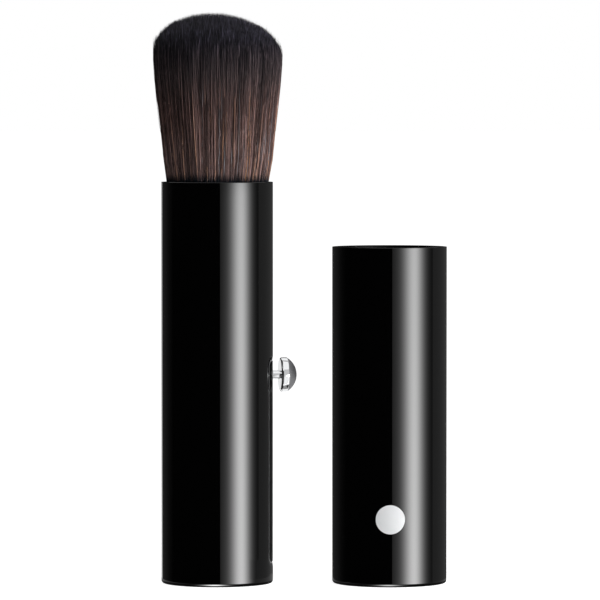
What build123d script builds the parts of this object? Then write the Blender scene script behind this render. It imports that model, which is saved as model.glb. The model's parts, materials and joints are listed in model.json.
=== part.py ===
from build123d import *
import math
import os

# A powder brush whose hair draws into its tube by a side knob, with its loose cap standing beside it.
# Millimetres. The origin is the centre of the tube's foot, +Z runs up the tube,
# and the cap stands towards +X.

# Tube
body_height = 86.2
body_radius = 12.0
shell_wall = 0.45
shell_floor = 0.8
foot_round = 0.7
mouth_break = 0.12

# Fits
press_gap = 0.02
slide_gap = 0.06
overrun = 1.0

# Window of the tube, filled by the bezel, and its coined edge
knob_bearing = 8.5
window_width = 10.8
window_end = 3.1
window_corner = 1.4
window_bevel = 1.1
window_bevel_depth = 0.16
bezel_gap = 0.05
bezel_sink = 0.03

# Guide sleeve
sleeve_wall = 0.43
sleeve_setback = 0.5
notch_width = 3.4
notch_height = 1.6

# Weight in the foot
weight_thickness = 2.0
weight_break = 0.3
weight_gap = 0.05

# Head of hair, as it stands above the mouth
hair_reach = 36.5
hair_tuck = 0.4
head_radius = 14.0
head_depth_share = 0.9
crown_height = 9.1
crown_lean = 1.4
neck_radius = 12.1
neck_height = 11.8
root_radius = 9.4
strand_count = 320
strand_sides = 3
root_strand_radius = 0.3
neck_strand_radius = 0.4
belly_strand_radius = 0.46
tip_strand_radius = 0.16
belly_share = 0.75
root_sink = 0.3

# Ferrule and the resin that holds the roots
ferrule_radius = 10.4
ferrule_wall = 0.35
ferrule_depth = 6.0
crimp_depth = 0.12
crimp_width = 0.9
crimp_pitch = 2.6
crimp_count = 2
plug_depth = 2.0
plug_length = 9.0
root_slice = 1.0

# Carriage
stop_gap = 0.48
boss_drop = 4.5
band_height = 9.5
waist_height = 3.5
waist_depth = 0.44
skirt_wall = 1.84
cup_floor = 2.0
cup_depth = 8.0
rib_thickness = 1.0
boss_radius = 2.4
boss_reach = 5.4

# Click spring on the back of the carriage
spring_length = 7.0
spring_width = 2.8
spring_thickness = 0.2
spring_bow = 0.5
spring_click_radius = 0.5
spring_click_width = 1.8
spring_seat = 1.14
spring_pocket_gap = 0.15
click_gap = 0.15

# Threaded insert, stem and bush
insert_radius = 1.6
insert_length = 4.4
insert_groove = 0.25
insert_groove_width = 0.7
insert_setback = 0.64
stem_radius = 0.93
stem_grip = 4.0
bush_radius = 1.2
bush_proud = 0.3
bush_flange_thickness = 0.4
bush_side_gap = 0.08
bush_end_gap = 0.06

# Knob
knob_gap = 1.57
cup_radius = 3.7
cup_thickness = 1.64
cup_round = 0.18
cup_recess_radius = 3.1
cup_recess = 0.6
stem_seat = 0.8
dome_radius = 3.6
dome_height = 2.0

# Cap
cap_height = 72.3
cap_gap = 0.06
cap_wall = 0.24
cap_floor = 0.8
cap_corner = 0.9
cap_mouth_break = 0.08
cap_offset = 37.0
pad_thickness = 0.8
pad_gap = 0.04

# Heights and radii that follow from the sizes above
travel = hair_reach + hair_tuck
shell_bore = body_radius - shell_wall
sleeve_radius = shell_bore - press_gap
sleeve_bore = sleeve_radius - sleeve_wall
band_radius = sleeve_bore - slide_gap
weight_base = shell_floor + press_gap
weight_top = weight_base + weight_thickness
knob_low = weight_top + stop_gap + boss_drop
knob_height = knob_low + travel
slider_bottom = knob_height - boss_drop
cup_base = slider_bottom + band_height + waist_height
cup_seat = cup_base + cup_floor
slider_top = cup_seat + cup_depth
spring_height = slider_bottom + band_height / 2
ferrule_bottom = cup_seat + press_gap
ferrule_top = body_height - ferrule_depth
ferrule_bore = ferrule_radius - ferrule_wall
plug_radius = ferrule_bore - press_gap
root_top = ferrule_top - plug_depth
root_base = root_top - root_slice
plug_top = root_base - press_gap
head_top = body_height + hair_reach
insert_outer = band_radius - insert_setback
insert_inner = insert_outer - insert_length
knob_back = body_radius + knob_gap
knob_front = knob_back + cup_thickness
slot_width = 2 * (bush_radius + bush_side_gap)
cap_bore = body_radius + cap_gap
cap_radius = cap_bore + cap_wall


def turned(outline):
    """Revolve an outline of (radius, height) pairs about the tube's axis."""
    points = [(radius, 0, height) for radius, height in outline]
    return revolve(make_face(Polyline(*points, close=True)), Axis.Z)


def ring(inner, outer, bottom, top):
    """A plain ring between two radii and two heights."""
    return turned([(inner, bottom), (outer, bottom), (outer, top), (inner, top)])


def disc(radius, bottom, top):
    """A plain disc between two heights."""
    return turned([(0, bottom), (radius, bottom), (radius, top), (0, top)])


def bar(radius, inner, outer, height):
    """A round bar that points along +X, between two distances from the tube's axis."""
    length = outer - inner
    solid = Cylinder(radius, length, align=(Align.CENTER, Align.CENTER, Align.MIN))
    return Pos(inner, 0, height) * Rot(0, 90, 0) * solid


def at_bearing(solid):
    """Turn a piece that was made towards +X to the knob's side."""
    return Rot(0, 0, knob_bearing) * solid


def side_prism(sketch, inner, outer):
    """Push a sketch, drawn across and up, outward between two distances along +X."""
    return extrude(Plane.YZ.offset(inner) * sketch, outer - inner)


def window_tool(gap):
    """The window's outline as a tool through the wall, smaller all round by a gap."""
    bottom = knob_low - window_end + gap
    top = knob_height + window_end - gap
    outline = RectangleRounded(window_width - 2 * gap, top - bottom, window_corner - gap)
    return side_prism(Pos(0, (bottom + top) / 2) * outline, root_radius, body_radius + overrun)


def slot_tool():
    """The stem's slot as a tool through the bezel and the sleeve."""
    bottom = knob_low - bush_end_gap
    top = knob_height + bush_end_gap
    outline = SlotCenterToCenter(top - bottom, slot_width, rotation=90)
    return side_prism(Pos(0, (bottom + top) / 2) * outline, root_radius, body_radius + overrun)


def drawn_can(radius, wall, floor, height, mouth):
    """A can drawn from sheet, with a rounded foot and a lightly broken mouth."""
    can = disc(radius, 0, height) - disc(radius - wall, floor, height + overrun)
    foot = can.edges().filter_by(GeomType.CIRCLE).sort_by(Axis.Z)[0]
    can = fillet(foot, foot_round)
    rim = can.edges().filter_by(GeomType.CIRCLE).sort_by(Axis.Z)[-2:]
    return chamfer(rim, mouth)


def body_shell():
    """The tube's shell, with the window and its coined edge."""
    can = Rot(0, 0, 180) * drawn_can(body_radius, shell_wall, shell_floor, body_height, mouth_break)
    shell = can - window_tool(0)
    skin = shell.faces().filter_by(GeomType.CYLINDER).sort_by(SortBy.AREA)[-1]
    low = knob_low - window_end
    high = knob_height + window_end
    edges = [edge for edge in skin.edges() if low <= edge.center().Z <= high]
    return at_bearing(shell.chamfer(window_bevel, window_bevel_depth, edges, skin))


def slot_bezel():
    """The moulded strip that fills the window and frames the stem's slot."""
    plate = ring(shell_bore, body_radius - bezel_sink, 0, body_height)
    return at_bearing((plate & window_tool(bezel_gap)) - slot_tool())


def guide_sleeve():
    """The moulded liner that the carriage runs in, with its slot and two click notches."""
    tube = ring(sleeve_bore, sleeve_radius, weight_base, body_height - sleeve_setback)
    tube -= slot_tool()
    for height in (spring_height, spring_height - travel):
        outline = Pos(0, height) * Rectangle(notch_width, notch_height)
        tube -= side_prism(outline, -body_radius, -band_radius + spring_seat)
    return at_bearing(tube)


def base_weight():
    """The steel disc that steadies the brush on its foot."""
    weight = disc(sleeve_bore - weight_gap, weight_base, weight_top)
    return chamfer(weight.edges().filter_by(GeomType.CIRCLE), weight_break)


def slider():
    """The moulded carriage: a ribbed skirt below and a cup for the ferrule above."""
    waist = band_radius - waist_depth
    skirt_bore = band_radius - skirt_wall
    cup_bore = ferrule_radius + press_gap
    band_top = slider_bottom + band_height
    outline = [(0, cup_base), (skirt_bore, cup_base), (skirt_bore, slider_bottom)]
    outline += [(band_radius, slider_bottom), (band_radius, band_top), (waist, band_top)]
    outline += [(waist, cup_base), (band_radius, cup_base), (band_radius, slider_top)]
    outline += [(cup_bore, slider_top), (cup_bore, cup_seat), (0, cup_seat)]
    body = turned(outline)
    rib_low = slider_bottom + rib_thickness
    rib_size = (2 * skirt_bore, rib_thickness, cup_base - rib_low)
    rib = Pos(0, 0, (cup_base + rib_low) / 2) * Box(*rib_size)
    body += [rib, Rot(0, 0, 90) * rib]
    body += bar(boss_radius, boss_reach, skirt_bore + press_gap, knob_height)
    body -= bar(insert_radius + press_gap, insert_inner - press_gap, body_radius, knob_height)
    pocket_width = spring_width + 2 * spring_pocket_gap
    pocket_height = spring_length + 2 * spring_pocket_gap
    pocket = Pos(0, spring_height) * Rectangle(pocket_width, pocket_height)
    body -= side_prism(pocket, -body_radius, -band_radius + spring_seat)
    return at_bearing(body)


def detent_spring():
    """The bowed leaf on the back of the carriage, with the ridge that clicks in the notches."""
    seat = -band_radius + spring_seat - press_gap
    low = spring_height - spring_length / 2
    high = spring_height + spring_length / 2
    outer = seat - spring_thickness
    back = Polyline((outer, 0, low), (seat, 0, low))
    inner_arc = ThreePointArc((seat, 0, low), (seat - spring_bow, 0, spring_height), (seat, 0, high))
    front = Polyline((seat, 0, high), (outer, 0, high))
    outer_arc = ThreePointArc((outer, 0, high), (outer - spring_bow, 0, spring_height), (outer, 0, low))
    leaf = extrude(make_face(Curve() + [back, inner_arc, front, outer_arc]), spring_width / 2, both=True)
    ridge = Rot(90, 0, 0) * Cylinder(spring_click_radius, spring_click_width)
    ridge_x = -sleeve_bore + click_gap + spring_click_radius
    ridge = Pos(ridge_x, 0, spring_height) * ridge
    inside = Box(body_radius, spring_width, spring_length, align=(Align.MIN, Align.CENTER, Align.CENTER))
    ridge -= Pos(outer - spring_bow + spring_thickness / 2, 0, spring_height) * inside
    return at_bearing(leaf + ridge)


def threaded_insert():
    """The brass insert that the stem screws into, grooved once so that it holds in the moulding."""
    middle = (insert_inner + insert_outer) / 2
    insert = bar(insert_radius, insert_inner, insert_outer, knob_height)
    groove = bar(insert_radius + press_gap, middle - insert_groove_width / 2,
                 middle + insert_groove_width / 2, knob_height)
    groove -= bar(insert_radius - insert_groove, insert_inner, insert_outer, knob_height)
    bore = bar(stem_radius + press_gap, insert_inner - overrun, insert_outer + overrun, knob_height)
    return at_bearing(insert - groove - bore)


def knob_stem():
    """The plain stem from the insert, through the slot, into the back of the knob."""
    return at_bearing(bar(stem_radius, insert_outer - stem_grip, knob_back + stem_seat, knob_height))


def stem_bush():
    """The small flanged bush that runs in the slot and is trapped by its flange."""
    flange_inner = insert_outer + press_gap
    flange_outer = flange_inner + bush_flange_thickness
    bush = bar(insert_radius, flange_inner, flange_outer, knob_height)
    bush += bar(bush_radius, flange_inner, body_radius + bush_proud, knob_height)
    bush -= bar(stem_radius + press_gap, flange_inner - overrun, body_radius + overrun, knob_height)
    return at_bearing(bush)


def knob_cup():
    """The bright drum of the knob, recessed in front for the dome."""
    cup = bar(cup_radius, knob_back, knob_front, knob_height)
    cup = fillet(cup.edges().filter_by(GeomType.CIRCLE), cup_round)
    cup -= bar(cup_recess_radius, knob_front - cup_recess, knob_front + overrun, knob_height)
    cup -= bar(stem_radius + press_gap, knob_back - overrun, knob_back + stem_seat + press_gap, knob_height)
    return at_bearing(cup)


def knob_dome():
    """The polished dome, with a spigot that drops into the drum."""
    base = knob_front + press_gap
    foot = knob_front - cup_recess + press_gap
    spigot = cup_recess_radius - press_gap
    crown = TangentArc((base + dome_height, 0), (base, dome_radius), tangent=(0, 1))
    inside = Polyline((base, dome_radius), (base, spigot), (foot, spigot), (foot, 0), (base + dome_height, 0))
    dome = revolve(make_face(crown + inside), Axis.X)
    return at_bearing(Pos(0, 0, knob_height) * dome)


def ferrule():
    """The aluminium tube round the roots, with crimp grooves into the resin's length."""
    tube = ring(ferrule_bore, ferrule_radius, ferrule_bottom, ferrule_top)
    for number in range(crimp_count):
        low = plug_top - plug_length / 2 + number * crimp_pitch
        tube -= ring(ferrule_radius - crimp_depth, ferrule_radius + overrun, low, low + crimp_width)
    return tube


def hair_plug():
    """The cast resin under the roots."""
    return disc(plug_radius, plug_top - plug_length, plug_top)


def head_half_width(height):
    """Half the head's width, to the outermost strand's line, at a height."""
    neck = body_height + neck_height
    if height < neck:
        return root_radius + (neck_radius - root_radius) * (height - root_top) / (neck - root_top)
    crown = head_top - crown_height
    return neck_radius + (head_radius - neck_radius) * (height - neck) / (crown - neck)


def crown_top(across, angle):
    """Height of the crown at a share of the head's half width, lower on one side than the other."""
    drop = crown_height + crown_lean * across * math.cos(angle)
    return head_top - drop * (1 - math.sqrt(1 - across ** 2))


def strand_section(spread, angle, height, radius):
    """The cross-section of one strand, at its place in the head at a height."""
    reach = spread * head_half_width(height)
    place = (reach * math.cos(angle), head_depth_share * reach * math.sin(angle), height)
    corners = RegularPolygon(radius, strand_sides, rotation=math.degrees(angle))
    return Pos(*place) * corners


def strand(number):
    """One strand, on its own line out of the roots to the crown, so that none cross."""
    across = math.sqrt((number + 1 / 2) / strand_count)
    golden_turn = math.pi * (3 - math.sqrt(5))
    angle = number * golden_turn
    top = crown_top(across, angle)
    spread = across * head_radius / head_half_width(top)
    neck = body_height + neck_height
    belly = neck + belly_share * (top - neck)
    sections = [(root_top - root_sink, root_strand_radius), (neck, neck_strand_radius)]
    sections += [(belly, belly_strand_radius), (top, tip_strand_radius)]
    return loft([strand_section(spread, angle, *section) for section in sections], ruled=True)


def bristles():
    """The head of hair, each strand rooted in one slice of the resin."""
    roots = disc(plug_radius, root_base, root_top)
    return roots.fuse(*[strand(number) for number in range(strand_count)])


def cap_shell():
    """The cap, standing on its closed end beside the brush."""
    can = drawn_can(cap_radius, cap_wall, cap_floor, cap_height, cap_mouth_break)
    inner_floor = can.faces().filter_by(Plane.XY).sort_by(Axis.Z)[1]
    can = fillet(inner_floor.edges(), cap_corner)
    return Pos(cap_offset, 0, 0) * can


def cap_pad():
    """The moulded pad in the cap's rounded inner corner, where the tube's mouth stops."""
    base = cap_floor + pad_gap
    blank = disc(cap_bore - pad_gap, base, cap_height)
    corner = blank.edges().filter_by(GeomType.CIRCLE).sort_by(Axis.Z)[0]
    pad = fillet(corner, cap_corner - pad_gap) & disc(cap_bore, base, base + pad_thickness)
    return Pos(cap_offset, 0, 0) * pad


pieces = [body_shell, slot_bezel, guide_sleeve, base_weight, slider, detent_spring]
pieces += [threaded_insert, knob_stem, stem_bush, knob_cup, knob_dome, ferrule]
pieces += [hair_plug, bristles, cap_shell, cap_pad]

os.makedirs("parts", exist_ok=True)
for piece in pieces:
    export_step(piece(), f"parts/{piece.__name__}.step")
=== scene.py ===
import json
import math
from types import SimpleNamespace

import bmesh
import bpy
import numpy as np
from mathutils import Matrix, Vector


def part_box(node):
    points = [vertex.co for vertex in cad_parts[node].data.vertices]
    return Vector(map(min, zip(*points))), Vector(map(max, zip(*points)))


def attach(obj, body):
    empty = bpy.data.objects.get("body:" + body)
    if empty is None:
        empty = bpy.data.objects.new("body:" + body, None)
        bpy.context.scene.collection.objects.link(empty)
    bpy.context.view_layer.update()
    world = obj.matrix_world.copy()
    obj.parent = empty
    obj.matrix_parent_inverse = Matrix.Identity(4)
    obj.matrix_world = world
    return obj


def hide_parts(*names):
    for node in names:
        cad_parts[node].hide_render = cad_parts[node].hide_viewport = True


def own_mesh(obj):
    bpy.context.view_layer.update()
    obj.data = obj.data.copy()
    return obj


bl_info = {
    "name": "Retracting powder brush",
    "version": (1, 0, 0),
    "blender": (4, 5, 0),
    "location": "3D Viewport > Sidebar > Powder Brush",
    "description": "Models a powder brush that draws into its tube, with its cap beside it",
    "category": "Add Mesh",
}

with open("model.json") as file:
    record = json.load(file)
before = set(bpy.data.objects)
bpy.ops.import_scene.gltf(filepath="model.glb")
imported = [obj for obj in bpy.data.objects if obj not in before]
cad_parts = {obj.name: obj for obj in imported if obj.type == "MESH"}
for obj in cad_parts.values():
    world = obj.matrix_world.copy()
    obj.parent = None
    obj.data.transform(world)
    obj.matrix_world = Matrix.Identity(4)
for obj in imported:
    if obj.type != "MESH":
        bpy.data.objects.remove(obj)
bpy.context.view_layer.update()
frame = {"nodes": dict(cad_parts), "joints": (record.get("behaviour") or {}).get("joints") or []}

mm = 0.001
tiny = 1e-6

# Fineness of the meshes
round_steps = 256
knob_steps = 96
foot_steps = 14
rim_steps = 4
small_steps = 2
window_corner_steps = 12
window_flat_steps = 26
dot_rings = 10
smooth_limit = math.radians(30)
crease_limit = math.radians(5)

# Reach of a cutter across the tube's wall, as shares of the tube's radius
cut_from, cut_to = 0.8, 2
cut_over = 0.02 * mm

tube_low, tube_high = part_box("body_shell")
cap_low, cap_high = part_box("cap_shell")
bezel_low, bezel_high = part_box("slot_bezel")
hair_low, hair_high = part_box("bristles")
cup_low, cup_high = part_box("knob_cup")
cup_middle = (cup_low + cup_high) / 2
cap_middle = (cap_low + cap_high) / 2
knob_bearing = math.atan2(cup_middle.y, cup_middle.x)
knob_reach = math.hypot(cup_middle.x, cup_middle.y)
slide_joint = next(joint for joint in frame["joints"] if joint["name"] == "brush_slide")
knob_travel = -slide_joint["range_m"][0]


def length(name, default, description):
    """A length that the sidebar shows in the scene's unit."""
    return bpy.props.FloatProperty(name=name, default=default, description=description,
                                   subtype="DISTANCE", unit="LENGTH", precision=6, min=0)


def amount(name, default, description, high=1):
    """A plain number from nothing to a stated most."""
    return bpy.props.FloatProperty(name=name, default=default, description=description,
                                   precision=4, min=0, max=high)


def colour(name, default, description):
    """A colour, as a maker would pick it."""
    return bpy.props.FloatVectorProperty(name=name, default=default, description=description,
                                         subtype="COLOR", size=3, min=0, max=1)


def whole(name, default, description, low=1, high=100000):
    """A count or a seed."""
    return bpy.props.IntProperty(name=name, default=default, description=description,
                                 min=low, max=high)


def own_names(group):
    """The names of a property group's own values."""
    return [name for name in group.bl_rna.properties.keys() if name not in ("rna_type", "name")]


class TubeSizes(bpy.types.PropertyGroup):
    """The tube, its window and the strip that fills it."""

    radius: length("Radius", tube_high.x, "Outside radius of the tube")
    height: length("Height", tube_high.z, "Height of the tube")
    wall: length("Wall", 0.45 * mm, "Thickness of the drawn wall")
    floor: length("Floor", 0.8 * mm, "Thickness of the closed end")
    foot_round: length("Foot round", 0.7 * mm, "Round between the wall and the foot")
    rim_break: length("Rim break", 0.12 * mm, "Small round on the mouth's edges")
    window_width: length("Window width", 11.2 * mm, "Width of the window, along the skin")
    window_low: length("Window low end", bezel_low.z - 0.05 * mm, "Height of its lower end")
    window_high: length("Window high end", bezel_high.z + 0.05 * mm, "Height of its upper end")
    window_corner: length("Window corner", 1.4 * mm, "Radius of the window's corners")
    coin_width: length("Coined edge", 1.1 * mm, "Width of the pressed edge round the window")
    coin_depth: length("Coined depth", 0.16 * mm, "Depth of that edge at the window")
    line_width: length("Polished line", 0.3 * mm, "Width of the polished line at the window")
    bezel_gap: length("Strip gap", 0.05 * mm, "Gap between the strip and the window")
    bezel_sink: length("Strip sink", 0.03 * mm, "How far the strip lies under the skin")
    slot_width: length("Slot width", 2.56 * mm, "Width of the slot for the knob's stem")
    slot_end: length("Slot end gap", 0.06 * mm, "Spare length beyond the stem's travel")


class KnobSizes(bpy.types.PropertyGroup):
    """The knob, its stem and the bush that runs in the slot."""

    drum_radius: length("Drum radius", (cup_high.z - cup_low.z) / 2, "Radius of the bright drum")
    drum_thickness: length("Drum thickness", 1.64 * mm, "Thickness of the drum")
    drum_round: length("Drum round", 0.16 * mm, "Round on the edge towards the dome")
    drum_back_round: length("Drum back round", 0.45 * mm, "Round on the edge towards the tube")
    recess_radius: length("Recess radius", 3.1 * mm, "Radius of the seat for the dome")
    recess_depth: length("Recess depth", 0.6 * mm, "Depth of that seat")
    dome_radius: length("Dome radius", 3.6 * mm, "Radius of the dome's rim")
    dome_height: length("Dome height", 2.0 * mm, "Rise of the dome")
    dome_break: length("Dome edge", 0.05 * mm, "Small bevel on the dome's rim")
    stem_radius: length("Stem radius", 0.93 * mm, "Radius of the stem")
    stem_reach: length("Stem reach", 0.8 * mm, "How far the stem goes into the drum")
    bush_radius: length("Bush radius", 1.2 * mm, "Radius of the bush in the slot")
    bush_proud: length("Bush stands out", 0.04 * mm, "How far the bush stands out of the tube")
    bush_round: length("Bush round", 0.08 * mm, "Round on the bush's outer edge")
    seat_gap: length("Seat gap", 0.02 * mm, "Gap between parts that are pressed together")


class CapSizes(bpy.types.PropertyGroup):
    """The loose cap and the plain round dot on its front."""

    radius: length("Radius", (cap_high.x - cap_low.x) / 2, "Outside radius of the cap")
    height: length("Height", cap_high.z, "Height of the cap")
    wall: length("Wall", 0.24 * mm, "Thickness of the drawn wall")
    floor: length("Floor", 0.8 * mm, "Thickness of the closed end")
    foot_round: length("Foot round", 0.7 * mm, "Round between the wall and the closed end")
    inner_corner: length("Inner corner", 0.9 * mm, "Round inside the closed end")
    rim_break: length("Rim break", 0.08 * mm, "Small round on the mouth's edges")
    dot_radius: length("Dot radius", 3.1 * mm, "Radius of the plain dot")
    dot_height: length("Dot height", 14.5 * mm, "Height of the dot's centre")
    dot_thickness: length("Dot thickness", 0.03 * mm, "Thickness of the dot's foil")


class HairSizes(bpy.types.PropertyGroup):
    """The head of hair, as it flares out of the tube's mouth."""

    sectors: whole("Sectors", 12, "Number of wedges that the head is split into", 3, 64)
    strands: whole("Strands a sector", 2900, "Number of hairs in each wedge")
    wavy_strands: whole("Wavy strands", 100, "Number of wavy hairs in each wedge")
    locks: whole("Locks a sector", 700, "Number of small locks in each wedge")
    tufts: whole("Tufts a sector", 70, "Number of larger tufts that share a tone in each wedge")
    sheets: whole("Sheets a sector", 160, "Number of upright sheets that share a tone")
    strand_radius: length("Strand radius", 0.045 * mm, "Radius of a hair at its thickest")
    root_radius: length("Root radius", 9.2 * mm, "Radius of the head at its roots")
    mouth_radius: length("Mouth radius", 10.85 * mm, "Radius of the head at the tube's mouth")
    neck_radius: length("Neck radius", 11.45 * mm, "Radius just above the mouth")
    neck_rise: length("Neck rise", 4.2 * mm, "Height of that radius above the mouth")
    waist_radius: length("Waist radius", 11.88 * mm, "Radius of the head at its waist")
    waist_rise: length("Waist rise", 9.3 * mm, "Height of that radius above the mouth")
    belly_radius: length("Belly radius", 13.72 * mm, "Largest radius of the head")
    belly_rise: length("Belly rise", 26.5 * mm, "Height of the largest radius above the mouth")
    crown_sink: length("Crown sink", 0.2 * mm, "Drop of the crown below the part's own top")
    crown_drop: length("Crown drop", 9.06 * mm, "Drop from the top to the crown's edge")
    crown_tilt: amount("Crown tilt", 0.06, "Slope of the crown, down towards the knob's side")
    side_lean: length("Side lean", 0.17 * mm, "Shift of the head towards the knob's side")
    depth_share: amount("Depth share", 0.9, "Depth of the head as a share of its width")
    squeeze: amount("Squeeze", 0.74, "Share of the width left when drawn in")
    seed: whole("Seed", 7, "Start of the random draws", 0)


class Finishes(bpy.types.PropertyGroup):
    """Colours and surfaces of the pieces."""

    lacquer: colour("Lacquer", (0.0003, 0.0003, 0.00035), "Gloss black of the tube and the cap")
    lacquer_rough: amount("Lacquer roughness", 0.03, "Roughness of the gloss black")
    edge: colour("Polished edge", (0.75, 0.75, 0.76), "Bare line of metal round the window")
    moulding: colour("Black moulding", (0.004, 0.004, 0.0043), "Strip, sleeve and carriage")
    chrome: colour("Chrome", (0.86, 0.87, 0.88), "Drum and stem of the knob")
    dome: colour("Dome", (0.24, 0.24, 0.25), "Darker satin dome")
    nylon: colour("Nylon", (0.8, 0.8, 0.8), "Bush in the slot")
    foil: colour("Dot", (0.76, 0.77, 0.78), "Pale foil of the dot")
    steel: colour("Steel", (0.5, 0.5, 0.51), "Weight in the foot")
    spring: colour("Spring", (0.42, 0.42, 0.43), "Leaf spring of the carriage")
    brass: colour("Brass", (0.72, 0.52, 0.22), "Insert that takes the stem")
    aluminium: colour("Aluminium", (0.72, 0.73, 0.74), "Ferrule of the hair")
    resin: colour("Resin", (0.05, 0.03, 0.012), "Resin round the roots")
    hair_tip: colour("Hair tip", (0.0132, 0.0122, 0.0175), "Hair of the crown")
    hair_upper: colour("Hair upper part", (0.053, 0.0385, 0.0395), "Hair below the crown")
    hair_middle: colour("Hair middle", (0.1, 0.0585, 0.053), "Hair halfway down")
    hair_root: colour("Hair root", (0.132, 0.083, 0.076), "Hair near the mouth")
    # Painted shade: the colour that the hair takes just above the tube's mouth, standing in for
    # the shadow inside the mouth
    hair_painted_mouth_shade: colour("Hair in the mouth", (0.005, 0.008, 0.012), "Hair inside the mouth")
    hair_copper: colour("Copper hair", (0.66, 0.33, 0.15), "The light brown hairs")
    hair_silver: colour("Silver hair", (0.6, 0.61, 0.66), "The pale hairs")


class StageSettings(bpy.types.PropertyGroup):
    """Camera and light."""

    lens: bpy.props.FloatProperty(name="Lens", default=307.7, description="Focal length",
                                  subtype="DISTANCE_CAMERA", min=1)
    camera_x: length("Camera across", 17.8 * mm, "Camera's place across the object")
    camera_back: length("Camera distance", 1100 * mm, "Camera's distance in front")
    camera_height: length("Camera height", 100.5 * mm, "Camera's height")
    camera_tilt: bpy.props.FloatProperty(name="Tilt", default=math.radians(-2.066),
                                         description="Camera's tilt from level",
                                         subtype="ANGLE", unit="ROTATION")
    floor_colour: colour("Floor", (0.86, 0.86, 0.86), "Pale floor")
    room_light: amount("Room light", 0.2, "Even light from all round", 10)
    key_light: amount("Key light", 1.08, "Light of the large soft lamp on the right", 10)
    fill_light: amount("Fill light", 0.02, "Light of the soft lamp on the left", 10)
    top_light: amount("Top light", 0.12, "Light of the soft lamp above", 10)
    box_bearing: amount("Soft box bearing", 50.3, "Degrees to the right of the front", 180)
    box_width: amount("Soft box width", 12.4, "Degrees over which its edges fade", 90)
    box_glow: amount("Soft box glow", 11.8, "Brightness of its middle in the gloss", 100)


class BrushSettings(bpy.types.PropertyGroup):
    """All that the sidebar shows."""

    tube: bpy.props.PointerProperty(type=TubeSizes)
    knob: bpy.props.PointerProperty(type=KnobSizes)
    cap: bpy.props.PointerProperty(type=CapSizes)
    hair: bpy.props.PointerProperty(type=HairSizes)
    finishes: bpy.props.PointerProperty(type=Finishes)
    stage: bpy.props.PointerProperty(type=StageSettings)


# Modelling helpers

def clear_selection():
    """Leave nothing selected, so that an operator acts on the new piece alone."""
    bpy.ops.object.select_all(action="DESELECT")


def select_alone(piece):
    """Make one piece the only one that an operator acts on."""
    clear_selection()
    piece.select_set(True)
    bpy.context.view_layer.objects.active = piece


def start_piece(name):
    """Name the primitive that was just added and apply its place."""
    piece = bpy.context.object
    piece.name = name
    piece.data.name = name
    bpy.ops.object.transform_apply(location=True, rotation=True, scale=True)
    return piece


def switch_to(mode):
    """Go into edit mode or back to object mode."""
    bpy.ops.object.mode_set(mode=mode)


def pick(kind, chosen):
    """In edit mode, select the faces or the edges that pass a test."""
    mesh = bpy.context.object.data
    bpy.ops.mesh.select_mode(type=kind)
    bpy.ops.mesh.select_all(action="DESELECT")
    shape = bmesh.from_edit_mesh(mesh)
    for element in shape.faces if kind == "FACE" else shape.edges:
        element.select_set(chosen(element))
    bmesh.update_edit_mesh(mesh)


def pick_faces(inside):
    """Select the faces whose corners all pass a test on their place."""
    pick("FACE", lambda face: all(inside(corner.co) for corner in face.verts))


def pick_circles(level, centre_x=0):
    """Select the edges that run round an upright axis at a height."""
    def runs_round(edge):
        first, last = (corner.co for corner in edge.verts)
        first_reach = math.hypot(first.x - centre_x, first.y)
        last_reach = math.hypot(last.x - centre_x, last.y)
        level_edge = abs(first.z - level) < tiny and abs(last.z - level) < tiny
        return level_edge and abs(first_reach - last_reach) < tiny
    pick("EDGE", runs_round)


def bevel_picked(width, segments):
    """Round the selected edges."""
    bpy.ops.mesh.bevel(offset=width, segments=segments, profile=0.5, affect="EDGES")


def sink_picked(inset, depth):
    """Push the selected faces down, within an even margin."""
    bpy.ops.mesh.inset(thickness=inset)
    bpy.ops.mesh.extrude_region_move(TRANSFORM_OT_translate={"value": (0, 0, -depth)})


def apply_modifier(piece, kind, **values):
    """Add a modifier to the active piece, set it and apply it."""
    modifier = piece.modifiers.new(kind.lower(), kind)
    for name, value in values.items():
        setattr(modifier, name, value)
    bpy.ops.object.modifier_apply(modifier=modifier.name)


def drawn_can(name, centre_x, sizes, inner_corner=0):
    """A can drawn from sheet: a cylinder, opened from the top, with its edges rounded."""
    clear_selection()
    bpy.ops.mesh.primitive_cylinder_add(vertices=round_steps, radius=sizes.radius,
                                        depth=sizes.height,
                                        location=(centre_x, 0, sizes.height / 2))
    can = start_piece(name)
    switch_to("EDIT")
    pick_faces(lambda place: place.z > sizes.height - tiny)
    sink_picked(sizes.wall, sizes.height - sizes.floor)
    if inner_corner:
        pick_circles(sizes.floor, centre_x)
        bevel_picked(inner_corner, foot_steps)
    pick_circles(0, centre_x)
    bevel_picked(sizes.foot_round, foot_steps)
    pick_circles(sizes.height, centre_x)
    bevel_picked(sizes.rim_break, rim_steps)
    switch_to("OBJECT")
    return can


def window_outline(half_width, low, high, corner, grow):
    """Corners of a rounded window as (along the skin, height), grown evenly all round."""
    half_width, corner = half_width + grow, corner + grow
    low, high = low - grow, high + grow
    inner = half_width - corner
    arcs = [(inner, high - corner), (-inner, high - corner),
            (-inner, low + corner), (inner, low + corner)]
    points = []
    for quarter, (along, height) in enumerate(arcs):
        for step in range(window_corner_steps + 1):
            turn = math.pi / 2 * (quarter + step / window_corner_steps)
            points.append((along + corner * math.cos(turn), height + corner * math.sin(turn)))
        if quarter in (0, 2) and inner > tiny:
            way = 1 if quarter == 0 else -1
            for step in range(1, window_flat_steps):
                along_flat = way * inner * (1 - 2 * step / window_flat_steps)
                points.append((along_flat, points[-1][1]))
    return points


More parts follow.
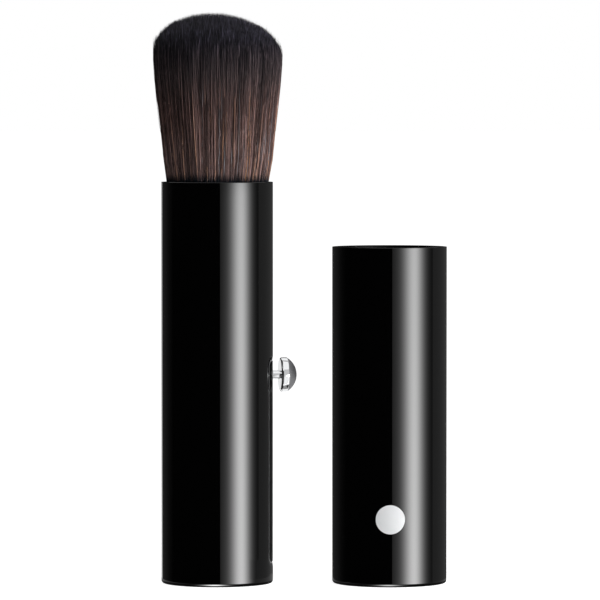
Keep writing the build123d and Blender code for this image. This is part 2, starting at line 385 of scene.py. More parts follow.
def wrapped_block(outline_sizes, skin, rings):
    """A block round the tube's axis, whose outline is the window's at each (radius, grow)."""
    shape = bmesh.new()
    loops = []
    for radius, grow in rings:
        loop = []
        for along, height in window_outline(*outline_sizes, grow):
            turn = knob_bearing + along / skin
            place = (radius * math.cos(turn), radius * math.sin(turn), height)
            loop.append(shape.verts.new(place))
        loops.append(loop)
    count = len(loops[0])
    for inner, outer in zip(loops, loops[1:]):
        for corner in range(count):
            after = (corner + 1) % count
            shape.faces.new((inner[corner], inner[after], outer[after], outer[corner]))
    shape.faces.new(loops[0])
    shape.faces.new(loops[-1])
    bmesh.ops.recalc_face_normals(shape, faces=shape.faces)
    mesh = bpy.data.meshes.new("cutter")
    shape.to_mesh(mesh)
    shape.free()
    block = bpy.data.objects.new("cutter", mesh)
    bpy.context.scene.collection.objects.link(block)
    return block


def combine(piece, block, operation):
    """Cut a block out of a piece, or keep what they share, and delete the block."""
    select_alone(piece)
    apply_modifier(piece, "BOOLEAN", operation=operation, solver="EXACT", object=block)
    mesh = block.data
    bpy.data.objects.remove(block)
    bpy.data.meshes.remove(mesh)


def smooth(piece):
    """Shade a piece smoothly but for its sharper edges."""
    select_alone(piece)
    bpy.ops.object.shade_smooth_by_angle(angle=smooth_limit)


def crease(low, high):
    """Keep every slight edge of the active piece between two heights crisp."""
    switch_to("EDIT")
    pick("EDGE", lambda edge: (all(low < corner.co.z < high for corner in edge.verts)
                               and edge.calc_face_angle(0) > crease_limit))
    bpy.ops.mesh.mark_sharp()
    switch_to("OBJECT")


def true_round(piece, centre_x, radius, upright_limit=0.02):
    """Give the corners of a wall's facets the normals of the cylinder that they stand for."""
    mesh = piece.data
    corners = np.empty(len(mesh.loops), np.int32)
    mesh.loops.foreach_get("vertex_index", corners)
    places = np.empty(len(mesh.vertices) * 3, np.float32)
    mesh.vertices.foreach_get("co", places)
    places = places.reshape(-1, 3)[corners] - np.array((centre_x, 0, 0), np.float32)
    normals = np.empty(len(mesh.loops) * 3, np.float32)
    mesh.corner_normals.foreach_get("vector", normals)
    normals = normals.reshape(-1, 3)
    reach = np.hypot(places[:, 0], places[:, 1])
    sag = radius * (1 - math.cos(math.pi / round_steps)) + tiny
    on_wall = (reach < radius + tiny) & (reach > radius - sag)
    for face in mesh.polygons:
        span = slice(face.loop_start, face.loop_start + face.loop_total)
        if abs(face.normal.z) > upright_limit or not on_wall[span].all():
            continue
        outward = places[span] * (1, 1, 0) / reach[span, None]
        facing = 1 if face.normal.dot(Vector(outward[0])) > 0 else -1
        normals[span] = outward * facing
    mesh.normals_split_custom_set(normals.tolist())


def wear(piece, *materials):
    """Give a piece its materials, the first all over."""
    piece.data.materials.clear()
    for material in materials:
        piece.data.materials.append(material)


def wear_inside(piece, centre_x, radius, underside=-0.5):
    """Give the faces inside a can its second material, but not those that look down."""
    for face in piece.data.polygons:
        inside = math.hypot(face.center.x - centre_x, face.center.y) < radius
        if inside and face.center.z > tiny * 2 and face.normal.z > underside:
            face.material_index = 1


# Node helpers

def feed(tree, socket, value):
    """Link another node's socket to an input, or set the input to a plain value."""
    if isinstance(value, bpy.types.NodeSocket):
        tree.links.new(value, socket)
    else:
        socket.default_value = value


def add_node(tree, kind, inputs=None, **settings):
    """Add a node with its settings, and feed its inputs, each by its name or its number."""
    node = tree.nodes.new(f"ShaderNode{kind}")
    for name, value in settings.items():
        setattr(node, name, value)
    for name, value in (inputs or {}).items():
        feed(tree, node.inputs[name], value)
    return node


def place_on_piece(tree):
    """The place on the piece that a material's patterns read."""
    return add_node(tree, "TexCoord").outputs["Object"]


def split(tree, vector):
    """The X, Y and Z of a vector."""
    return add_node(tree, "SeparateXYZ", {0: vector}).outputs


def noise(tree, vector, scale, detail=2.0):
    """A noise texture that reads a place."""
    inputs = {"Vector": vector, "Scale": scale, "Detail": detail}
    return add_node(tree, "TexNoise", inputs).outputs["Fac"]


def remap(tree, value, from_low, from_high, to_low, to_high):
    """Stretch a value from one range to another, clamped at both ends."""
    inputs = dict(enumerate((value, from_low, from_high, to_low, to_high)))
    return add_node(tree, "MapRange", inputs).outputs["Result"]


def calculate(tree, operation, first, *others):
    """The same sum over two or more values, from the left, or over one value alone."""
    for other in others or (0.0,):
        first = add_node(tree, "Math", {0: first, 1: other}, operation=operation).outputs[0]
    return first


def bell(tree, value, middle, width):
    """A bell over a value, which is 1 at its middle."""
    ratio = calculate(tree, "DIVIDE", calculate(tree, "SUBTRACT", value, middle), width)
    power = calculate(tree, "MULTIPLY", calculate(tree, "MULTIPLY", ratio, ratio), -0.5)
    return calculate(tree, "POWER", math.e, power)


def colour_ramp(tree, value, stops):
    """A colour ramp over a value, from (share, colour) stops."""
    ramp = add_node(tree, "ValToRGB", {"Fac": value})
    band = ramp.color_ramp
    while len(band.elements) < len(stops):
        band.elements.new(1)
    for element, (share, tone) in zip(band.elements, stops):
        element.position = share
        element.color = (*tone, 1)
    return ramp.outputs["Color"]


def mix_colours(tree, factor, first, second):
    """Blend two colours by a value."""
    first, second = (tone if isinstance(tone, bpy.types.NodeSocket) else (*tone, 1)
                     for tone in (first, second))
    return add_node(tree, "Mix", {0: factor, 6: first, 7: second}, data_type="RGBA").outputs[2]


# Effects that several materials share

def new_group(name, numbers, result):
    """A shader node group that turns a place and named numbers into one number."""
    tree = bpy.data.node_groups.new(name, "ShaderNodeTree")
    add_socket = tree.interface.new_socket
    add_socket(name="Place", in_out="INPUT", socket_type="NodeSocketVector")
    for label, default in numbers.items():
        socket = add_socket(name=label, in_out="INPUT", socket_type="NodeSocketFloat")
        socket.default_value = default
    add_socket(name=result, in_out="OUTPUT", socket_type="NodeSocketFloat")
    given, output = tree.nodes.new("NodeGroupInput"), tree.nodes.new("NodeGroupOutput")
    return tree, given.outputs, output.inputs[result]


def use_group(tree, maker, **values):
    """Place a group in a material with its own values. It is made the first time."""
    name = maker.__name__
    group = bpy.data.node_groups.get(name) or maker(name)
    return add_node(tree, "Group", values, node_tree=group).outputs[0]


def handling_marks(name):
    """Faint smudges and settled dust: a roughness that changes over the surface."""
    smudge_scale, dust_scale = 90, 1400
    tree, given, result = new_group(name, {"Roughness": 0.1, "Smudge": 0.05}, "Roughness")
    patches = remap(tree, noise(tree, given["Place"], smudge_scale, 3), 0.45, 0.75, 0, 1)
    specks = remap(tree, noise(tree, given["Place"], dust_scale), 0.66, 0.8, 0, 1)
    marks = calculate(tree, "MAXIMUM", patches, specks)
    added = calculate(tree, "MULTIPLY", marks, given["Smudge"])
    feed(tree, result, calculate(tree, "ADD", added, given["Roughness"]))
    return tree


def moulded_grain(name):
    """The fine spark-eroded grain of a moulding, as a height."""
    tree, given, result = new_group(name, {"Scale": 4000.0}, "Height")
    feed(tree, result, noise(tree, given["Place"], given["Scale"], 3))
    return tree


def turned_rings(name):
    """The fine rings that a lathe leaves round an axis that points along X or Z."""
    tree, given, result = new_group(name, {"Rings": 9000.0}, "Height")
    parts = split(tree, given["Place"])
    along = calculate(tree, "MULTIPLY", parts["Z"], given["Rings"])
    across = calculate(tree, "MULTIPLY", parts["X"], given["Rings"])
    line = add_node(tree, "CombineXYZ", {"X": along, "Y": across}).outputs["Vector"]
    feed(tree, result, noise(tree, line, 1))
    return tree


# Materials

def new_material(name, base):
    """A material with one surface shader, its node tree and the shader's inputs."""
    material = bpy.data.materials.new(name)
    material.use_nodes = True
    material.diffuse_color = (*base, 1)
    tree = material.node_tree
    shader = next(node for node in tree.nodes if node.type == "BSDF_PRINCIPLED").inputs
    shader["Base Color"].default_value = (*base, 1)
    return material, tree, shader


def surface(name, base, roughness, smudge, relief, make_height, metallic=0.0, ior=1.5, shine=0.5):
    """A handled surface with a fine relief, made once.
    make_height turns the socket of the place into that of the relief's height."""
    material = bpy.data.materials.get(name)
    if material:
        return material
    material, tree, shader = new_material(name, base)
    shader["Metallic"].default_value = metallic
    shader["IOR"].default_value = ior
    shader["Specular IOR Level"].default_value = shine
    place = place_on_piece(tree)
    marks = use_group(tree, handling_marks, Place=place, Roughness=roughness, Smudge=smudge)
    feed(tree, shader["Roughness"], marks)
    bump = add_node(tree, "Bump", {"Strength": 1.0, "Distance": relief,
                                   "Height": make_height(tree, place)})
    feed(tree, shader["Normal"], bump.outputs["Normal"])
    return material


def grain(scale):
    """The relief of a moulded or etched surface."""
    return lambda tree, place: use_group(tree, moulded_grain, Place=place, Scale=scale)


def lacquer_material(finishes):
    """Gloss black lacquer on drawn metal, with the faintest waviness."""
    wave_scale, wave_stretch = 260, (1, 1, 0.35)

    def waves(tree, place):
        drawn_out = add_node(tree, "Mapping", {"Vector": place, "Scale": wave_stretch})
        return noise(tree, drawn_out.outputs["Vector"], wave_scale, 1)
    return surface("gloss_black_lacquer", finishes.lacquer, finishes.lacquer_rough, smudge=0.035,
                   relief=0.0012 * mm, make_height=waves)


def lining_material(finishes):
    """The plainer black inside of the cap and the tube."""
    return surface("black_lining", finishes.lacquer, roughness=0.32, smudge=0.12,
                   relief=0.004 * mm, make_height=grain(2500), shine=0.12)


def moulding_material(name, base, roughness, relief=0.006 * mm, shine=0.5):
    """A plain moulded plastic with a fine grain."""
    return surface(name, base, roughness, smudge=0.1, relief=relief, make_height=grain(4500),
                   ior=1.49, shine=shine)


def metal_material(name, base, roughness, relief=0.0006 * mm, rings=9000.0, metallic=1.0):
    """A turned and polished metal with its lathe rings."""
    def turned(tree, place):
        return use_group(tree, turned_rings, Place=place, Rings=rings)
    return surface(name, base, roughness, smudge=0.06, relief=relief, make_height=turned,
                   metallic=metallic)


def foil_material(finishes):
    """The pale satin foil of the dot."""
    return surface("pale_foil", finishes.foil, roughness=0.5, smudge=0.1, relief=0.002 * mm,
                   make_height=grain(9000), metallic=0.1)


# The hair's map holds each hair's tone in columns across and its height in the head upwards.
# Tones over copper_tone are copper hairs, and tones under silver_tone are silver ones.
hair_map = "OFBake"
tone_columns = 128
copper_tone = 0.9
silver_tone = 0.045


def hair_material(finishes):
    """Dark dyed hair, near black at the tips and brown below, with copper and pale hairs, and
    painted shade on the crown and towards the tube's mouth.
    """
    name = "brush_hair_dyed"
    material = bpy.data.materials.get(name)
    if material:
        return material
    material, tree, shader = new_material(name, finishes.hair_middle)
    parts = split(tree, add_node(tree, "UVMap", uv_map=hair_map).outputs["UV"])
    along = parts["Y"]
    columns = calculate(tree, "MULTIPLY", parts["X"], float(tone_columns))
    tone = calculate(tree, "DIVIDE", calculate(tree, "FLOOR", columns), float(tone_columns - 1))
    paleness = remap(tree, tone, silver_tone, copper_tone, 0, 1)

    # Changes along a hair: where each starts and ends, and its values there
    low_contrast, crown_contrast = (0.4, 0.6, 3.5, 2.9), (0.74, 0.88, 0, 4.5)
    crown_painted_shade, painted_mouth_shade_edge = (0.87, 0.94, 1, 0.78), (0.204, 0.24, 0, 1)
    rare_fade = (0.32, 0.66, 1, 0)
    # What changes from the darkest hair to the palest
    fade_shift, painted_mouth_shade_shift, roughness = (0.04, -0.04), (-0.01, 0.012), (0.5, 0.36)
    copper_strength, silver_strength = 0.9, 0.8

    fade = calculate(tree, "ADD", along, remap(tree, paleness, 0, 1, *fade_shift))
    body = colour_ramp(tree, fade, [
        (0.3, finishes.hair_root), (0.486, finishes.hair_middle), (0.66, finishes.hair_upper),
        (0.81, finishes.hair_tip)])
    contrast = calculate(tree, "ADD", remap(tree, along, *low_contrast),
                         remap(tree, along, *crown_contrast))
    steps = calculate(tree, "MULTIPLY", calculate(tree, "SUBTRACT", paleness, 0.5), contrast)
    # Painted shade: the crown's hairs are darkened by up to about a fifth towards the top of the
    # head
    shade = calculate(tree, "MULTIPLY", calculate(tree, "POWER", 2.0, steps),
                      remap(tree, along, *crown_painted_shade))
    scaled = add_node(tree, "VectorMath", {0: body, "Scale": shade}, operation="SCALE")

    low_part = remap(tree, along, *rare_fade)
    copper = calculate(tree, "MULTIPLY", low_part,
                       remap(tree, tone, copper_tone, 1, 0, copper_strength))
    silver = calculate(tree, "MULTIPLY", low_part,
                       remap(tree, tone, 0, silver_tone, silver_strength, 0))
    warm = mix_colours(tree, copper, scaled.outputs["Vector"], finishes.hair_copper)
    lit = mix_colours(tree, silver, warm, finishes.hair_silver)
    # Painted shade: towards the tube's mouth the hair blends into a near-black colour, standing in
    # for the mouth's shadow, along a line made ragged by each hair's paleness
    ragged = calculate(tree, "ADD", along, remap(tree, paleness, 0, 1, *painted_mouth_shade_shift))
    clear_of_painted_mouth_shade = remap(tree, ragged, *painted_mouth_shade_edge)
    feed(tree, shader["Base Color"], mix_colours(tree, clear_of_painted_mouth_shade, finishes.hair_painted_mouth_shade, lit))
    feed(tree, shader["Roughness"], remap(tree, paleness, 0, 1, *roughness))
    shader["Specular IOR Level"].default_value = 0.2
    return material


# Hair

# Weights of what a hair shares with its lock, its tuft and its sheet, and its own part
lock_weight, tuft_weight, sheet_weight = 0.5, 0.07, 0.38
tone_shift, tone_spread, tone_margin = -0.022, 0.23, 0.02
# Copper and silver hairs are real, but their extra share on the side that the key light falls on
# is painted highlight
painted_highlight_bearing = math.radians(35)
copper_least, copper_painted_highlight = 0.02, 0.05
silver_least, silver_painted_highlight = 0.006, 0.045

# Where the hairs stand: most of them in the head's skin, the others in its core
wedge_overlap, lock_overlap = 1.04, 1.15
skin_share, skin_range, core_range = 0.72, (0.4, 1), (0, 0.55)

# How far they stray, dive in and out, sway, and draw in towards their lock's middle and tip
lock_drop, strand_drop = 0.17 * mm, 0.14 * mm
stray_share, stray_lean, plain_lean = 0.3, 0.1, 0.035
dive_spread, dive_cycles, dive_most = 0.03, (0.7, 1.8), 0.997
lock_sway, strand_sway, tip_sway = 0.1 * mm, 0.08 * mm, 0.6
middle_pull, tip_pull = 0.3, 0.45
wave_pitch_mm, wave_size_mm = (2.2, 4.5), (0.06, 0.2)

# Shares of a hair's length, the girth there, and how much the girths differ
taper_shares, taper_girths = (0, 0.5, 0.9, 0.97, 1), (0.85, 1, 0.85, 0.6, 0.3)
girth_range, rare_girth = (0.8, 1.2), 1.15

# Rings along a plain and a wavy hair, and how closely they gather at its tip
plain_rings, wavy_rings = 9, 40
plain_gather, wavy_gather = 1.7, 1


def head_radius(height, shape):
    """Half the head's width at a height, for an array of heights."""
    low_share, low_bulge = 0.45, 0.08 * mm
    ease_drop, ease_narrow = 4.3 * mm, 0.3 * mm
    low_neck = (shape.mouth_radius + shape.neck_radius) / 2 + low_bulge
    mouth = shape.mouth
    stops = [hair_low.z, mouth, mouth + shape.neck_rise * low_share, mouth + shape.neck_rise,
             mouth + shape.waist_rise, mouth + shape.belly_rise - ease_drop,
             mouth + shape.belly_rise]
    values = [shape.root_radius, shape.mouth_radius, low_neck, shape.neck_radius,
              shape.waist_radius, shape.belly_radius - ease_narrow, shape.belly_radius]
    return np.interp(height, stops, values)


def crown_height(across, turn, shape):
    """Height of the crown at a share of the head's half width, lower towards the knob."""
    fall = shape.crown_drop * (1 - np.sqrt(np.clip(1 - across ** 2, 0, 1)))
    tilt = shape.crown_tilt * across * shape.belly_radius * np.cos(turn)
    return hair_high.z - shape.crown_sink - fall - tilt


def scattered(draw, count, middle, half):
    """Places spread evenly over a wedge, as shares of the head's half width."""
    turn = middle + lock_overlap * half * draw.uniform(-1, 1, count)
    across = draw.uniform(0, 1, count) ** 0.5
    return np.stack([across * np.cos(turn), across * np.sin(turn)], 1)


def nearest_of(place, centres):
    """The number of the centre that lies nearest to each place."""
    return ((place[:, None] - centres[None]) ** 2).sum(2).argmin(1)


def strand_tones(draw, turn, lock_tone, tuft_tone, sheet_tone):
    """A tone for each hair: alike within a lock, a tuft and a sheet, with a few copper and silver
    hairs, most of them on the lit side as painted highlight."""
    count = len(turn)
    shared = lock_weight * lock_tone + tuft_weight * tuft_tone + sheet_weight * sheet_tone
    own = shared + tone_shift + draw.normal(0, tone_spread, count)
    own = np.clip(own, tone_margin, 1 - tone_margin)
    plain = silver_tone + (copper_tone - silver_tone) * own
    rare = draw.uniform(0, 1, count)
    # Painted highlight: how far a hair faces the key light, which raises its chance to be copper
    # or silver
    lit = 0.5 + 0.5 * np.cos(turn + painted_highlight_bearing)
    copper = rare > 1 - (copper_least + copper_painted_highlight * lit)
    silver = rare < silver_least + silver_painted_highlight * lit ** 2
    level = draw.uniform(0, 1, count)
    tone = np.where(copper, copper_tone + (1 - copper_tone) * level, plain)
    return np.where(silver, silver_tone * level, tone)


def strand_paths(draw, count, middle, half, shape, shares, wave):
    """Centre lines of a wedge's hairs: (hairs, rings, 3), and a tone for each."""
    turn = middle + wedge_overlap * half * draw.uniform(-1, 1, count)
    outer = draw.uniform(0, 1, count) < skin_share
    in_skin, in_core = draw.uniform(*skin_range, count), draw.uniform(*core_range, count)
    across = np.where(outer, in_skin, in_core) ** 0.5
    place = np.stack([across * np.cos(turn), across * np.sin(turn)], 1)
    lock_place = scattered(draw, shape.locks, middle, half)
    lock = nearest_of(place, lock_place)
    tuft = nearest_of(place, scattered(draw, shape.tufts, middle, half))
    sheets = draw.uniform(0, 1, shape.sheets)
    faces_camera = abs(math.sin(middle)) > 0.7
    facing = place[:, 0] if faces_camera else place[:, 1]
    sheet = sheets[((facing + 1) / 2 * (shape.sheets - 1)).astype(int)]
    tone = strand_tones(draw, turn, draw.uniform(0, 1, shape.locks)[lock],
                        draw.uniform(0, 1, shape.tufts)[tuft], sheet)

    drop = np.abs(draw.normal(0, lock_drop, shape.locks))[lock]
    top = crown_height(across, turn, shape) - drop + draw.normal(0, strand_drop, count)
    share = shares[None] * np.ones((count, 1))
    height = hair_low.z + share * (top - hair_low.z)[:, None]
    stray = draw.uniform(0, 1, count) < stray_share
    lean = draw.normal(0, 1, count) * np.where(stray, stray_lean, plain_lean)
    turned = turn[:, None] + lean[:, None] * (share - 0.5)
    dive = draw.normal(0, dive_spread, count)[:, None]
    cycles, start = draw.uniform(*dive_cycles, (count, 1)), draw.uniform(0, 1, (count, 1))
    diving = across[:, None] + dive * np.sin(2 * math.pi * (share * cycles + start))
    spread = shape.belly_radius / head_radius(top, shape)
    reach = np.clip(diving, 0, dive_most) * spread[:, None] * head_radius(height, shape)
    rise = np.clip((height - shape.mouth) / shape.belly_rise, 0, 1)
    depth = 1 + (shape.depth_share - 1) * rise
    above_root = np.clip(share * 1.1 - 0.1, 0, 1)
    drawn_in = middle_pull * np.sin(math.pi * above_root) + tip_pull * share ** 5
    to_lock = (lock_place[lock] - place) * shape.belly_radius
    lean_on = shape.side_lean * np.interp(rise, (0, 0.08), (0.5, 1))
    x = reach * np.cos(turned) + drawn_in * to_lock[:, :1] + lean_on
    y = (reach * np.sin(turned) + drawn_in * to_lock[:, 1:]) * depth
    shared_sway = draw.normal(0, lock_sway, (shape.locks, 2))[lock]
    sway = shared_sway + draw.normal(0, strand_sway, (count, 2))
    bend = np.sin(math.pi * share) + tip_sway * share ** 3
    x = x + sway[:, :1] * bend
    y = y + sway[:, 1:] * bend
    if wave:
        pitch = draw.uniform(*wave_pitch_mm, (count, 1)) * mm
        phase = draw.uniform(0, 2 * math.pi, (count, 2))
        size = draw.uniform(*wave_size_mm, (count, 1)) * mm
        swing = 2 * math.pi * (height - hair_low.z) / pitch
        fade = np.clip(1.25 - share * 1.4, 0, 1)
        x = x + size * fade * np.sin(swing + phase[:, :1])
        y = y + size * fade * np.sin(swing + phase[:, 1:])
    return np.stack([x, y, height], 2), tone


def strand_mesh(name, bundles, shape, draw):
    """One mesh of three-sided tapered hairs. Each bundle holds (shares, paths, tones)."""
    sides, column_margin, side_width = 3, 0.14, 0.24 / tone_columns
    side = np.arange(sides)
    after = (side + 1) % sides
    places, corners, totals, maps = [], [], [], []
    base = 0
    for share, paths, tones in bundles:
        count, rings, _ = paths.shape

        # Corners: a ring round each point of the path but the last, which is the tip
        taper = np.interp(share, taper_shares, taper_girths)
        girth = (taper * shape.strand_radius)[:-1]
        turn = draw.uniform(0, 2 * math.pi, (count, 1, 1)) + side * 2 * math.pi / sides
        rare = (tones >= copper_tone) | (tones < silver_tone)
        own = draw.uniform(*girth_range, count) * np.where(rare, rare_girth, 1)
        own = own[:, None, None]
        ring = np.stack([np.cos(turn), np.sin(turn), np.zeros_like(turn)], 3)
        body = paths[:, :-1, None] + ring * (girth[None, :, None, None] * own[..., None])
        points = np.concatenate([body.reshape(count, -1, 3), paths[:, -1:]], 1)
        places.append(points.reshape(-1, 3))
        per = points.shape[1]

        # Faces: quads between the rings, triangles to the tip, and one that closes the root
        ring_start = np.arange(rings - 2)[:, None] * sides
        quads = np.stack([ring_start + side, ring_start + after, ring_start + sides + after,
                          ring_start + sides + side], 2).reshape(-1, 4)
        last = (rings - 2) * sides
        peaks = np.stack([last + side, last + after, np.full(sides, per - 1)], 1)
        flat = np.concatenate([quads.ravel(), peaks.ravel(), [2, 1, 0]])
        first = base + np.arange(count)[:, None] * per
        corners.append((first + flat[None]).ravel())
        own_totals = np.concatenate([np.full(len(quads), 4), np.full(sides + 1, 3)])
        totals.append(np.tile(own_totals, count))
        base += count * per

        # Map: the tone's column across, the height in the head upwards
        column = np.minimum((tones * tone_columns).astype(int), tone_columns - 1)
        start = (column + column_margin)[:, None] / tone_columns
        level = (paths[:, :, 2] - hair_low.z) / shape.full_height
        low, high = level[:, :-2], level[:, 1:-1]
        across = np.stack([side, side + 1, side + 1, side], 1)[None].repeat(rings - 2, 0)
        upward = np.stack([low, low, high, high], 2)[:, :, None].repeat(sides, 2)
        peak_across = np.stack([side, side + 1, side + 0.5], 1)
        below_tip, tip_level = level[:, -2], level[:, -1]
        peak_upward = np.stack([below_tip, below_tip, tip_level], 1)[:, None].repeat(sides, 1)
        root_across, root_upward = [3.0, 0.0, 1.5], np.array([[0.0, 0.0, 0.01]])
        u = np.concatenate([across.ravel(), peak_across.ravel(), root_across])
        v = np.concatenate([upward.reshape(count, -1), peak_upward.reshape(count, -1),
                            root_upward.repeat(count, 0)], 1)
        maps.append(np.stack([start + u[None] * side_width, v], 2).reshape(-1, 2))
    places = np.concatenate(places).astype(np.float32)
    corners = np.concatenate(corners).astype(np.int32)
    totals = np.concatenate(totals).astype(np.int32)
    mesh = bpy.data.meshes.new(name)
    mesh.vertices.add(len(places))
    mesh.vertices.foreach_set("co", places.ravel())
    mesh.loops.add(len(corners))
    mesh.loops.foreach_set("vertex_index", corners)
    mesh.polygons.add(len(totals))
    starts = np.concatenate([[0], np.cumsum(totals)[:-1]]).astype(np.int32)
    mesh.polygons.foreach_set("loop_start", starts)
    mesh.update(calc_edges=True)
    pairs = np.concatenate(maps).astype(np.float32).ravel()
    mesh.uv_layers.new(name=hair_map).uv.foreach_set("vector", pairs)
    mesh.shade_smooth()
    return mesh


# Operators

class POWDERBRUSH_OT_tube(bpy.types.Operator):
    """Model the gloss tube with its coined window, and the dark strip that fills it"""

    bl_idname = "powder_brush.tube"
    bl_label = "Tube and strip"

    def execute(self, context):
        settings = context.scene.powder_brush
        sizes, finishes = settings.tube, settings.finishes
        radius = sizes.radius
        shell = drawn_can("tube_shell", 0, sizes)
        window = (sizes.window_width / 2, sizes.window_low, sizes.window_high,
                  sizes.window_corner)
        flare = sizes.coin_width * (sizes.coin_depth + cut_over) / sizes.coin_depth
        line_depth = sizes.coin_depth * (1 - sizes.line_width / sizes.coin_width)
        rings = [(radius * cut_from, 0), (radius - sizes.coin_depth, 0),
                 (radius - line_depth, sizes.line_width),
                 (radius + cut_over, flare), (radius * cut_to, flare)]
        combine(shell, wrapped_block(window, radius, rings), "DIFFERENCE")
        smooth(shell)
        margin = 3 * sizes.coin_width
        low, high = sizes.window_low - margin, sizes.window_high + margin
        crease(low, high)
        true_round(shell, 0, radius)
        wear(shell, lacquer_material(finishes), lining_material(finishes),
             metal_material("polished_edge", finishes.edge, 0.35, metallic=0.8))
        wear_inside(shell, 0, radius - sizes.wall / 2)
        outward_share = 0.9
        for face in shell.data.polygons:
            reach = math.hypot(face.center.x, face.center.y)
            pressed = radius - sizes.coin_depth - tiny < reach < radius - line_depth
            outward = face.normal.x * face.center.x + face.normal.y * face.center.y
            if low < face.center.z < high and pressed and outward > outward_share * reach:
                face.material_index = 2
        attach(shell, "handle")
        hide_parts("body_shell")

        strip_radius = radius - sizes.bezel_sink
        clear_selection()
        bpy.ops.mesh.primitive_cylinder_add(vertices=round_steps, end_fill_type="NOTHING",
                                            radius=strip_radius, depth=sizes.height,
                                            location=(0, 0, sizes.height / 2))
        bezel = start_piece("slot_strip")
        apply_modifier(bezel, "SOLIDIFY", thickness=sizes.wall - sizes.bezel_sink, offset=-1)
        rings = [(radius * cut_from, -sizes.bezel_gap), (radius * cut_to, -sizes.bezel_gap)]
        combine(bezel, wrapped_block(window, radius, rings), "INTERSECT")
        stem_height, slot_half = cup_middle.z, sizes.slot_width / 2
        slot = (slot_half, stem_height - knob_travel - slot_half - sizes.slot_end,
                stem_height + slot_half + sizes.slot_end, slot_half)
        rings = [(radius * cut_from, 0), (radius * cut_to, 0)]
        combine(bezel, wrapped_block(slot, radius, rings), "DIFFERENCE")
        smooth(bezel)
        true_round(bezel, 0, strip_radius)
        wear(bezel, moulding_material("strip_moulding", finishes.moulding, roughness=0.25,
                                      relief=0.001 * mm, shine=0.04))
        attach(bezel, "handle")
        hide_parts("slot_bezel")
        return {"FINISHED"}


def set_on_knob_axis(piece, distance):
    """Turn an upright piece to the knob's bearing, at a distance from the tube's axis."""
    piece.rotation_euler = (0, math.pi / 2, knob_bearing)
    piece.location = (distance * math.cos(knob_bearing), distance * math.sin(knob_bearing),
                      cup_middle.z)
    select_alone(piece)
    bpy.ops.object.transform_apply(location=True, rotation=True, scale=True)
    smooth(piece)


def upright_bar(name, radius, depth):
    """A round bar that stands on the origin, in edit mode."""
    clear_selection()
    bpy.ops.mesh.primitive_cylinder_add(vertices=knob_steps, radius=radius, depth=depth,
                                        location=(0, 0, depth / 2))
    bar = start_piece(name)
    switch_to("EDIT")
    return bar


def knob_axis_start(low_x, radius):
    """Where a bar of a radius on the knob's axis starts, when its box starts at low_x."""
    return (low_x + radius * math.sin(knob_bearing)) / math.cos(knob_bearing)


class POWDERBRUSH_OT_knob(bpy.types.Operator):
    """Model the knob's drum and dome, its stem, and the bush that runs in the slot"""

    bl_idname = "powder_brush.knob"
    bl_label = "Knob and stem"

    def execute(self, context):
        settings = context.scene.powder_brush
        sizes, finishes = settings.knob, settings.finishes
        back = knob_reach - sizes.drum_thickness / 2
        front = back + sizes.drum_thickness
        chrome = metal_material("polished_chrome", finishes.chrome, 0.05, relief=0.0002 * mm)

        drum = upright_bar("knob_drum", sizes.drum_radius, sizes.drum_thickness)
        pick_circles(0)
        bevel_picked(sizes.drum_back_round, 2 * rim_steps)
        pick_circles(sizes.drum_thickness)
        bevel_picked(sizes.drum_round, rim_steps)
        pick_faces(lambda place: place.z > sizes.drum_thickness - tiny)
        flat = sizes.drum_radius - sizes.drum_round
        sink_picked(flat - sizes.recess_radius, sizes.recess_depth)
        switch_to("OBJECT")
        wear(drum, chrome)
        set_on_knob_axis(drum, back)
        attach(drum, "carriage")
        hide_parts("knob_cup")

        ball = (sizes.dome_radius ** 2 + sizes.dome_height ** 2) / (2 * sizes.dome_height)
        clear_selection()
        bpy.ops.mesh.primitive_uv_sphere_add(segments=knob_steps, ring_count=knob_steps,
                                             radius=ball,
                                             location=(0, 0, sizes.dome_height - ball))
        dome = start_piece("knob_dome_polished")
        switch_to("EDIT")
        bpy.ops.mesh.select_all(action="SELECT")
        bpy.ops.mesh.bisect(plane_co=(0, 0, 0), plane_no=(0, 0, 1), use_fill=True,
                            clear_inner=True)
        pick_circles(0)
        bevel_picked(sizes.dome_break, small_steps)
        pick_faces(lambda place: place.z < tiny)
        spigot = sizes.recess_radius - sizes.seat_gap
        sink_picked(sizes.dome_radius - sizes.dome_break - spigot,
                    sizes.recess_depth - 2 * sizes.seat_gap)
        switch_to("OBJECT")
        set_on_knob_axis(dome, front + sizes.seat_gap)
        wear(dome, metal_material("smoked_chrome", finishes.dome, 0.5, relief=0.002 * mm,
                                  rings=14000.0))
        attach(dome, "carriage")
        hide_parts("knob_dome")

        stem_low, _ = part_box("knob_stem")
        stem_start = knob_axis_start(stem_low.x, sizes.stem_radius)
        stem_length = back + sizes.stem_reach - stem_start
        stem = upright_bar("knob_stem_polished", sizes.stem_radius, stem_length)
        pick_circles(0)
        bevel_picked(sizes.bush_round, small_steps)
        switch_to("OBJECT")
        set_on_knob_axis(stem, stem_start)
        wear(stem, chrome)
        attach(stem, "carriage")
        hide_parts("knob_stem")

        bush_low, bush_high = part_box("stem_bush")
        bush_start = knob_axis_start(bush_low.x, (bush_high.z - bush_low.z) / 2)
        bush_length = settings.tube.radius + sizes.bush_proud - bush_start
        bore = sizes.stem_radius + sizes.seat_gap
        bush = upright_bar("stem_bush_moulded", sizes.bush_radius, bush_length)
        pick_circles(bush_length)
        bevel_picked(sizes.bush_round, rim_steps)
        pick_faces(lambda place: place.z > bush_length - tiny)
        sink_picked(sizes.bush_radius - sizes.bush_round - bore, bush_length - sizes.bush_round)
        switch_to("OBJECT")
        set_on_knob_axis(bush, bush_start)
        wear(bush, moulding_material("pale_nylon", finishes.nylon, 0.3))
        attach(bush, "carriage")
        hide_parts("stem_bush")
        return {"FINISHED"}


